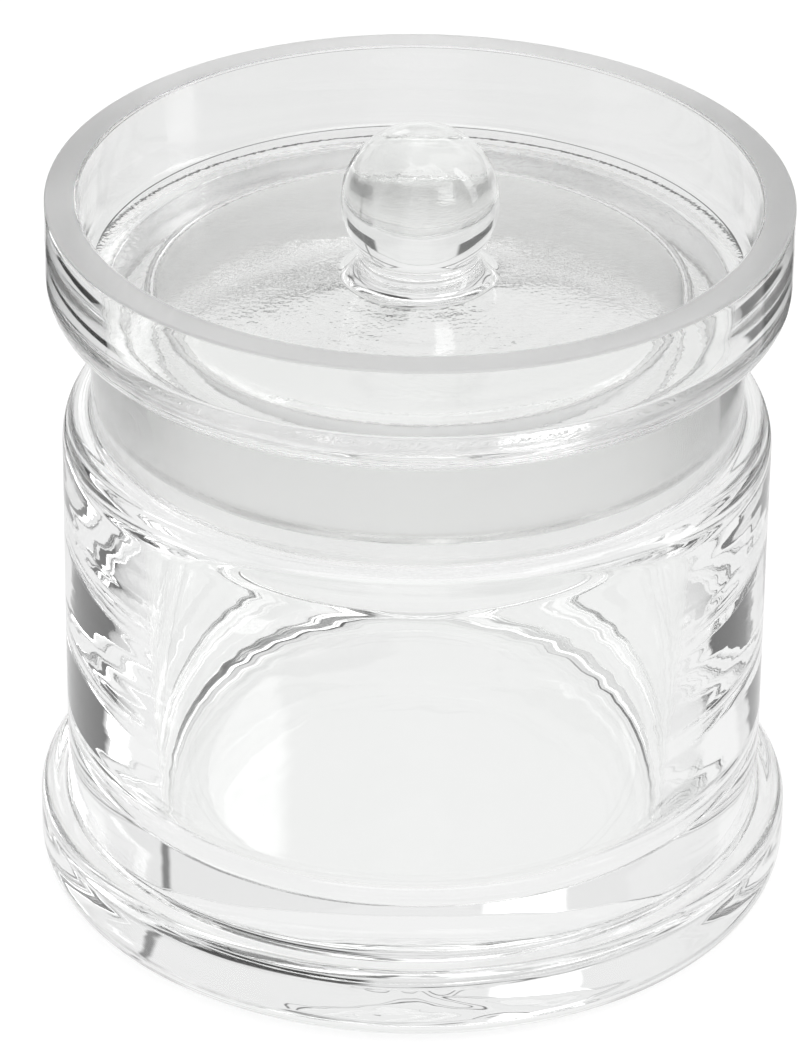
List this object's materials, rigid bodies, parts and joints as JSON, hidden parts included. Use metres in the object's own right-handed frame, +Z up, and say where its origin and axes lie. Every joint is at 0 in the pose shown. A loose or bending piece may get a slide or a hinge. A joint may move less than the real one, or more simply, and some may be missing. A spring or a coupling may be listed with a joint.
{
  "type": "glass cotton jar",
  "caption": "Clear glass jar with a flared foot and ground neck, and a dished stopper lid with a ball knob.",
  "frame": {"origin": "centre of the jar's foot, on the surface that it stands on", "axes": "+Z up along the jar's axis, towards the knob; the part is round, so X and Y are free"},
  "size_m": [0.1044, 0.1044, 0.1109],
  "materials": {
    "jar_glass": "clear polished glass with a ground, frosted bore in the neck",
    "lid_glass": "clear polished glass with a ground, frosted rim and plug"
  },
  "bodies": {
    "root": {"jar": "jar_glass", "lid": "lid_glass"}
  },
  "joints": []
}
